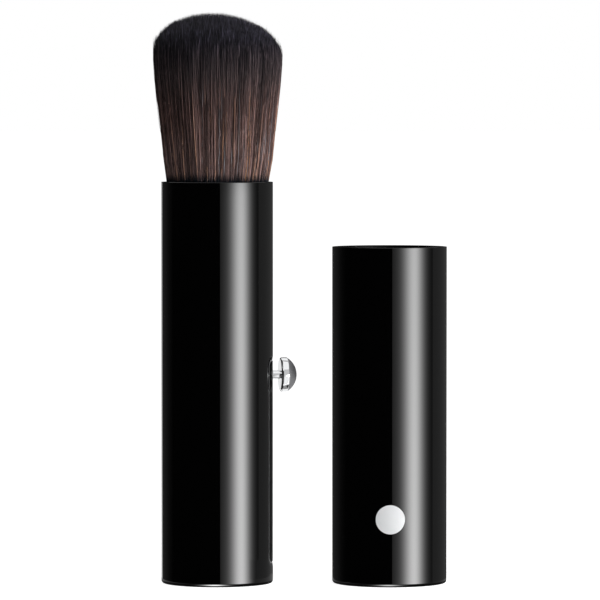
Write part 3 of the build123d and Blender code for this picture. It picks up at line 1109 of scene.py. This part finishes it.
class POWDERBRUSH_OT_cap(bpy.types.Operator):
    """Model the loose cap and the plain dot on its front"""

    bl_idname = "powder_brush.cap"
    bl_label = "Cap and dot"

    def execute(self, context):
        settings = context.scene.powder_brush
        sizes, finishes = settings.cap, settings.finishes
        shell = drawn_can("cap_can", cap_middle.x, sizes, sizes.inner_corner)
        smooth(shell)
        true_round(shell, cap_middle.x, sizes.radius)
        wear(shell, lacquer_material(finishes), lining_material(finishes))
        wear_inside(shell, cap_middle.x, sizes.radius - sizes.wall / 2)
        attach(shell, "cap")
        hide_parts("cap_shell")

        in_front = (cap_middle.x, -2 * sizes.radius, sizes.dot_height)
        clear_selection()
        bpy.ops.mesh.primitive_circle_add(vertices=knob_steps, radius=sizes.dot_radius,
                                          fill_type="NGON", location=in_front,
                                          rotation=(math.pi / 2, 0, 0))
        dot = start_piece("cap_dot")
        switch_to("EDIT")
        bpy.ops.mesh.select_mode(type="FACE")
        bpy.ops.mesh.select_all(action="SELECT")
        for _ in range(dot_rings - 1):
            bpy.ops.mesh.inset(thickness=sizes.dot_radius / dot_rings)
        switch_to("OBJECT")
        apply_modifier(dot, "SHRINKWRAP", target=shell, wrap_method="PROJECT", use_project_y=True,
                       use_positive_direction=True, use_negative_direction=False,
                       offset=sizes.dot_thickness / 3)
        apply_modifier(dot, "SOLIDIFY", thickness=sizes.dot_thickness, offset=1)
        smooth(dot)
        wear(dot, foil_material(finishes))
        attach(dot, "cap")
        shell.visible_glossy = dot.visible_glossy = False
        return {"FINISHED"}


class POWDERBRUSH_OT_hair(bpy.types.Operator):
    """Model the head of hair in wedges, which ride on the carriage"""

    bl_idname = "powder_brush.hair"
    bl_label = "Head of hair"

    def execute(self, context):
        settings = context.scene.powder_brush
        sizes = settings.hair
        numbers = {name: getattr(sizes, name) for name in own_names(sizes)}
        shape = SimpleNamespace(**numbers, mouth=settings.tube.height,
                                full_height=hair_high.z + mm - hair_low.z)
        material = hair_material(settings.finishes)
        half = math.pi / shape.sectors
        for number in range(shape.sectors):
            draw = np.random.default_rng(shape.seed + number)
            middle = 2 * half * number - math.pi / 2
            bundles = []
            for count, rings, gather, wave in (
                    (shape.strands, plain_rings, plain_gather, False),
                    (shape.wavy_strands, wavy_rings, wavy_gather, True)):
                shares = 1 - (1 - np.linspace(0, 1, rings)) ** gather
                paths = strand_paths(draw, count, middle, half, shape, shares, wave)
                bundles.append((shares, *paths))
            name = f"hair_wedge_{number + 1:02d}"
            wedge = bpy.data.objects.new(name, strand_mesh(name, bundles, shape, draw))
            context.scene.collection.objects.link(wedge)
            wear(wedge, material)
            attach(wedge, "carriage")
            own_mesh(wedge)
            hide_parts("bristles")
        return {"FINISHED"}


class POWDERBRUSH_OT_inner_parts(bpy.types.Operator):
    """Finish the parts that are held inside the tube and the cap"""

    bl_idname = "powder_brush.inner_parts"
    bl_label = "Inner parts"

    def execute(self, context):
        finishes = context.scene.powder_brush.finishes
        moulding = moulding_material("black_moulding", finishes.moulding, 0.45, shine=0.1)
        pieces = {
            "guide_sleeve": moulding,
            "slider": moulding,
            "cap_pad": moulding,
            "base_weight": metal_material("plated_steel", finishes.steel, 0.25),
            "detent_spring": metal_material("spring_steel", finishes.spring, 0.2),
            "threaded_insert": metal_material("turned_brass", finishes.brass, 0.22),
            "ferrule": metal_material("drawn_aluminium", finishes.aluminium, 0.3),
            "hair_plug": moulding_material("cast_resin", finishes.resin, 0.15),
        }
        for name, material in pieces.items():
            wear(frame["nodes"][name], material)
        return {"FINISHED"}


# Stage

# Bearings are degrees to the right of the front, round the middle of the stage. The cards show
# in gloss alone, and stand or lie where the photograph's gloss shows light or shade.
stage_middle = Vector(((tube_low.x + cap_high.x) / 2, 0, tube_high.z / 2))
lamp_distance = 1.0
card_distance, knob_card_distance = 0.9, 0.85
card_step = 3
flag_left, box_left, box_right = -104, 5.8, 96
box_low, box_high = -0.13, 0.078
room_low, room_high = -0.25, 0.6
flag_high, box_top_high = 0.5, 0.7
ceiling_level, knob_table_level = 0.95, 0.2 * mm

# The wide table lies so low that the gloss seen from the front passes over it.
wide_reach, wide_level = 1.2, -0.135


def soft_lamp(name, bearing, rise, size, light):
    """A large soft lamp that lights the object without showing in its gloss.
    Its light is 1 where it lights a white card that faces it to plain white."""
    data = bpy.data.lights.new(name, "AREA")
    data.shape = "RECTANGLE"
    data.size = data.size_y = size
    data.energy = light * (math.pi * lamp_distance) ** 2
    lamp = bpy.data.objects.new(name, data)
    bpy.context.scene.collection.objects.link(lamp)
    turn, lift = math.radians(bearing), math.radians(rise)
    away = Vector((math.sin(turn) * math.cos(lift), -math.cos(turn) * math.cos(lift),
                   math.sin(lift)))
    lamp.location = stage_middle + away * lamp_distance
    lamp.rotation_euler = (stage_middle - lamp.location).to_track_quat("-Z", "Y").to_euler()
    lamp.visible_glossy = False
    lamp.visible_camera = False


def glowing(card, name):
    """Name a card, make it glow in gloss alone and keep it out of the object.
    Gives its node tree, its glow and its output."""
    card.name = name
    material = bpy.data.materials.new(name)
    material.use_nodes = True
    tree = material.node_tree
    tree.nodes.clear()
    glow = add_node(tree, "Emission")
    output = add_node(tree, "OutputMaterial", {"Surface": glow.outputs["Emission"]})
    card.data.materials.append(material)
    card.visible_camera = False
    card.visible_diffuse = False
    card.visible_transmission = False
    card.visible_shadow = False
    return tree, glow, output


def even_glow(strength):
    """The same glow all over a card."""
    return lambda tree, *place: strength


def sloped_glow(bearing_from, glow_from, bearing_to, glow_to):
    """A glow that changes evenly from one bearing to another."""
    return lambda tree, bearing, height: remap(tree, bearing, bearing_from, bearing_to,
                                               glow_from, glow_to)


def upright_card(name, bearings, heights, make_glow, distance=card_distance):
    """A curved upright card between two bearings and two heights.
    make_glow turns the sockets of its bearing in degrees and its height into its glow."""
    start, end = (math.radians(bearing) for bearing in bearings)
    steps = max(2, int(abs(bearings[1] - bearings[0]) / card_step))
    clear_selection()
    bpy.ops.mesh.primitive_grid_add(x_subdivisions=steps, y_subdivisions=1, size=1)
    card = bpy.context.object
    for corner in card.data.vertices:
        turn = start + (end - start) * (corner.co.x + 0.5)
        level = heights[0] if corner.co.y < 0 else heights[1]
        corner.co = (stage_middle.x + distance * math.sin(turn), -distance * math.cos(turn), level)
    tree, glow, _ = glowing(card, name)
    parts = split(tree, add_node(tree, "UVMap").outputs["UV"])
    bearing = remap(tree, parts["X"], 0, 1, *bearings)
    height = remap(tree, parts["Y"], 0, 1, *heights)
    feed(tree, glow.inputs["Strength"], make_glow(tree, bearing, height))


def flat_card(name, low, high, axis, level, make_glow):
    """A flat card square to an axis at a level, between two corners.
    make_glow turns the sockets of its X, Y and Z into its glow."""
    clear_selection()
    bpy.ops.mesh.primitive_plane_add(size=1)
    card = bpy.context.object
    for corner in card.data.vertices:
        place = [low[0] if corner.co.x < 0 else high[0], low[1] if corner.co.y < 0 else high[1]]
        place.insert(axis, level)
        corner.co = place
    card.data.update()
    tree, glow, output = glowing(card, name)
    parts = split(tree, place_on_piece(tree))
    feed(tree, glow.inputs["Strength"], make_glow(tree, parts["X"], parts["Y"], parts["Z"]))
    return tree, glow, output


def side_screen(name, low, high, level, make_glow, facing):
    """A card between the tube and the cap that hides one from the gloss of the other.
    It shows to one side only, facing 1 or -1 along X."""
    tree, glow, output = flat_card(name, low, high, 0, level, make_glow)
    behind = add_node(tree, "NewGeometry").outputs["Backfacing"]
    if facing < 0:
        behind = calculate(tree, "SUBTRACT", 1.0, behind)
    clear = add_node(tree, "BsdfTransparent").outputs["BSDF"]
    blend = add_node(tree, "MixShader", {0: behind, 1: glow.outputs["Emission"], 2: clear})
    feed(tree, output.inputs["Surface"], blend.outputs["Shader"])


def soft_box_glow(settings):
    """The glow of a soft box: a bell across, a weak even spill beside it, stronger low down."""
    middle, width = settings.box_bearing, settings.box_width
    # Changes across and up the box: where each starts and ends, and its values there
    spread = (middle - 5, middle + 5, width * 1.05, width * 0.94)
    near_spill, far_fade = (6, 14, 0.3, 0.45), (70, 92, 1, 0.25)
    fall, top_fade = (-0.09, 0.08, 1.1, 0.88), (0.069, 0.077, 1, 0.72)

    def make(tree, bearing, height):
        peak = calculate(tree, "MULTIPLY", settings.box_glow,
                         bell(tree, bearing, middle, remap(tree, bearing, *spread)))
        spill = calculate(tree, "MULTIPLY", remap(tree, bearing, *near_spill),
                          remap(tree, bearing, *far_fade))
        return calculate(tree, "MULTIPLY", calculate(tree, "ADD", peak, spill),
                         remap(tree, height, *fall), remap(tree, height, *top_fade))
    return make


def cap_screen_glow(tree, across, depth, height):
    """What the cap's gloss would see past the tube: the dark room."""
    return remap(tree, depth, -7 * mm, -1 * mm, 0.008, 0.05)


def tube_screen_glow(tree, across, depth, height):
    """What the tube's gloss would see past the cap's foot: the soft box's edge, then the room."""
    power = remap(tree, depth, -15.6 * mm, -8.5 * mm, 2.9, 0)
    edge = calculate(tree, "MULTIPLY", calculate(tree, "POWER", math.e, power), 0.19)
    room = remap(tree, depth, -5 * mm, 15 * mm, 0.225, 0.125)
    return calculate(tree, "MAXIMUM", edge, room)


def distance_of(tree, first, second):
    """The length of a line from its two sides."""
    squares = calculate(tree, "ADD", calculate(tree, "MULTIPLY", first, first),
                        calculate(tree, "MULTIPLY", second, second))
    return calculate(tree, "SQRT", squares)


def foot_card(name, centre_x, radius, patch_glow):
    """The table under a can, as its gloss shows it: dark, with a bright patch at the front."""
    card_radius, card_level = 18 * mm, 0.1 * mm
    patch_shift, patch_width = -0.4 * mm, 1.55 * mm
    clear_selection()
    bpy.ops.mesh.primitive_circle_add(vertices=round_steps, radius=card_radius,
                                      fill_type="NGON", location=(centre_x, 0, card_level))
    tree, glow, _ = glowing(start_piece(name), name)
    parts = split(tree, place_on_piece(tree))
    across = calculate(tree, "SUBTRACT", parts["X"], centre_x)
    reach = distance_of(tree, across, parts["Y"])
    inner = remap(tree, reach, radius - 0.05 * mm, radius + 0.15 * mm, 0, 1)
    outer = remap(tree, reach, radius + 1.4 * mm, radius + 1.8 * mm, 1, 0)
    front = remap(tree, parts["Y"], -1 * mm, 0, 1, 0)
    patch = calculate(tree, "MULTIPLY", inner, outer, front,
                      bell(tree, across, patch_shift, patch_width), patch_glow)
    shade = remap(tree, reach, radius + 1.5 * mm, radius + 2.5 * mm, 0.05, 0.35)
    feed(tree, glow.inputs["Strength"], calculate(tree, "ADD", patch, shade))


def wide_table_glow(settings):
    """The table as gloss shows it from above: dark, but lit on the right and wherever the knob
    shows it in the photograph, with a soft streak at the front and one at the back."""
    dark, front_streak, back_streak, back_bearing = 0.1, 3.0, 2.0, -140

    def make(tree, x, y, z):
        across = calculate(tree, "SUBTRACT", x, stage_middle.x)
        front = calculate(tree, "MULTIPLY", y, -1.0)
        turn = calculate(tree, "ARCTAN2", across, front)
        bearing = calculate(tree, "MULTIPLY", turn, math.degrees(1))
        right = remap(tree, bearing, 25, 80, dark, 1)
        behind = remap(tree, bearing, -178, -165, 1, dark)
        near = remap(tree, distance_of(tree, across, front), 80 * mm, 105 * mm, 1, 0)
        knob_side = calculate(tree, "MINIMUM", remap(tree, bearing, 7, 13, 0, 1),
                              remap(tree, bearing, 27, 34, 1, 0))
        streaks = [calculate(tree, "MULTIPLY", bell(tree, bearing, middle, settings.box_width),
                             glow)
                   for middle, glow in ((settings.box_bearing, front_streak),
                                        (back_bearing, back_streak))]
        return calculate(tree, "MAXIMUM", right, behind, *streaks, near, knob_side)
    return make


def white_room(strength):
    """A world that is plain white to the eye and in gloss, and an even light otherwise."""
    world = bpy.data.worlds.new("white_room")
    bpy.context.scene.world = world
    world.use_nodes = True
    tree = world.node_tree
    back = tree.nodes["Background"]
    back.inputs["Color"].default_value = (1, 1, 1, 1)
    rays = add_node(tree, "LightPath").outputs
    seen = calculate(tree, "MAXIMUM", rays["Is Camera Ray"], rays["Is Glossy Ray"],
                     rays["Is Transmission Ray"])
    feed(tree, back.inputs["Strength"], remap(tree, seen, 0, 1, strength, 1))


def pale_floor(tone):
    """A wide pale floor that stays white to the eye where nothing shades it."""
    clear_selection()
    bpy.ops.mesh.primitive_plane_add(size=60)
    floor = bpy.context.object
    floor.name = "pale_floor"
    material, tree, shader = new_material("pale_floor", tone)
    shader["Roughness"].default_value = 0.9
    shader["Specular IOR Level"].default_value = 0
    shader["Emission Color"].default_value = (1, 1, 1, 1)
    rays = add_node(tree, "LightPath").outputs
    feed(tree, shader["Emission Strength"],
         calculate(tree, "MULTIPLY", rays["Is Camera Ray"], 0.9))
    floor.data.materials.append(material)
    floor.visible_glossy = False


class POWDERBRUSH_OT_stage(bpy.types.Operator):
    """Set the camera, the pale floor, the soft lamps and the cards that the gloss shows"""

    bl_idname = "powder_brush.stage"
    bl_label = "Stage"

    def execute(self, context):
        settings = context.scene.powder_brush.stage
        scene = context.scene
        scene.view_settings.view_transform = "Standard"
        white_room(settings.room_light)
        pale_floor(settings.floor_colour)
        data = bpy.data.cameras.new("camera")
        data.lens = settings.lens
        data.sensor_width = 36
        data.clip_start, data.clip_end = 0.01, 100
        camera = bpy.data.objects.new("camera", data)
        scene.collection.objects.link(camera)
        camera.location = (settings.camera_x, -settings.camera_back, settings.camera_height)
        camera.rotation_euler = (math.pi / 2 + settings.camera_tilt, 0, 0)
        scene.camera = camera
        soft_lamp("key", bearing=50, rise=15, size=0.6, light=settings.key_light)
        soft_lamp("fill", bearing=-60, rise=10, size=0.6, light=settings.fill_light)
        soft_lamp("top", bearing=10, rise=80, size=0.8, light=settings.top_light)

        # Upright cards: name, bearings, heights, glow
        room = (room_low, room_high)
        for card in (
                ("black_flag", (flag_left, box_left), (room_low, flag_high), even_glow(0.008)),
                ("soft_box", (box_left, box_right), (box_low, box_high), soft_box_glow(settings)),
                ("box_top", (box_left, box_right), (box_high, box_top_high), even_glow(0.6)),
                ("room_side", (box_right, 180), room, sloped_glow(98, 0.23, 165, 0.09)),
                ("room_left", (-180, flag_left), room, sloped_glow(-130, 0.052, -106, 0.02)),
                ("knob_back", (-173, -153), (-0.1, 0.1), even_glow(0.85), knob_card_distance)):
            upright_card(*card)

        # Flat cards: name, two corners, the axis that they are square to, their level, glow
        flat_card("ceiling_strip", (-0.5, 0.2), (0.7, 0.4), 2, ceiling_level, even_glow(0.38))
        flat_card("knob_table", (13.9 * mm, -9 * mm), (23.4 * mm, 18 * mm), 2, knob_table_level,
                  even_glow(0.3))
        side_screen("cap_screen", (-24 * mm, 0), (60 * mm, 95 * mm), 20.8 * mm,
                    cap_screen_glow, facing=1)
        side_screen("tube_screen", (-15.6 * mm, 0), (60 * mm, 4.3 * mm), 23.6 * mm,
                    tube_screen_glow, facing=-1)
        flat_card("wide_table", (-wide_reach, -wide_reach), (wide_reach, wide_reach), 2,
                  wide_level, wide_table_glow(settings))
        foot_card("tube_table", 0, tube_high.x, patch_glow=24)
        foot_card("cap_table", cap_middle.x, cap_high.x - cap_middle.x, patch_glow=14)
        return {"FINISHED"}


class POWDERBRUSH_PT_sidebar(bpy.types.Panel):
    """The steps, in order, each with its sizes"""

    bl_idname = "POWDERBRUSH_PT_sidebar"
    bl_label = "Powder Brush"
    bl_space_type = "VIEW_3D"
    bl_region_type = "UI"
    bl_category = "Powder Brush"

    def draw(self, context):
        settings = context.scene.powder_brush
        steps = [("tube", "tube"), ("knob", "knob"), ("cap", "cap"), ("hair", "hair"),
                 ("inner_parts", "finishes"), ("stage", "stage")]
        for operator, group in steps:
            box = self.layout.box()
            box.operator(f"powder_brush.{operator}")
            values = getattr(settings, group)
            for name in own_names(values):
                box.prop(values, name)


classes = (TubeSizes, KnobSizes, CapSizes, HairSizes, Finishes, StageSettings, BrushSettings,
           POWDERBRUSH_OT_tube, POWDERBRUSH_OT_knob, POWDERBRUSH_OT_cap, POWDERBRUSH_OT_hair,
           POWDERBRUSH_OT_inner_parts, POWDERBRUSH_OT_stage, POWDERBRUSH_PT_sidebar)


def register():
    for each in classes:
        bpy.utils.register_class(each)
    bpy.types.Scene.powder_brush = bpy.props.PointerProperty(type=BrushSettings)


def unregister():
    del bpy.types.Scene.powder_brush
    for each in reversed(classes):
        bpy.utils.unregister_class(each)


def main():
    register()
    bpy.ops.powder_brush.tube()
    bpy.ops.powder_brush.knob()
    bpy.ops.powder_brush.cap()
    bpy.ops.powder_brush.hair()
    bpy.ops.powder_brush.inner_parts()
    bpy.ops.powder_brush.stage()


if __name__ == "__main__":
    main()
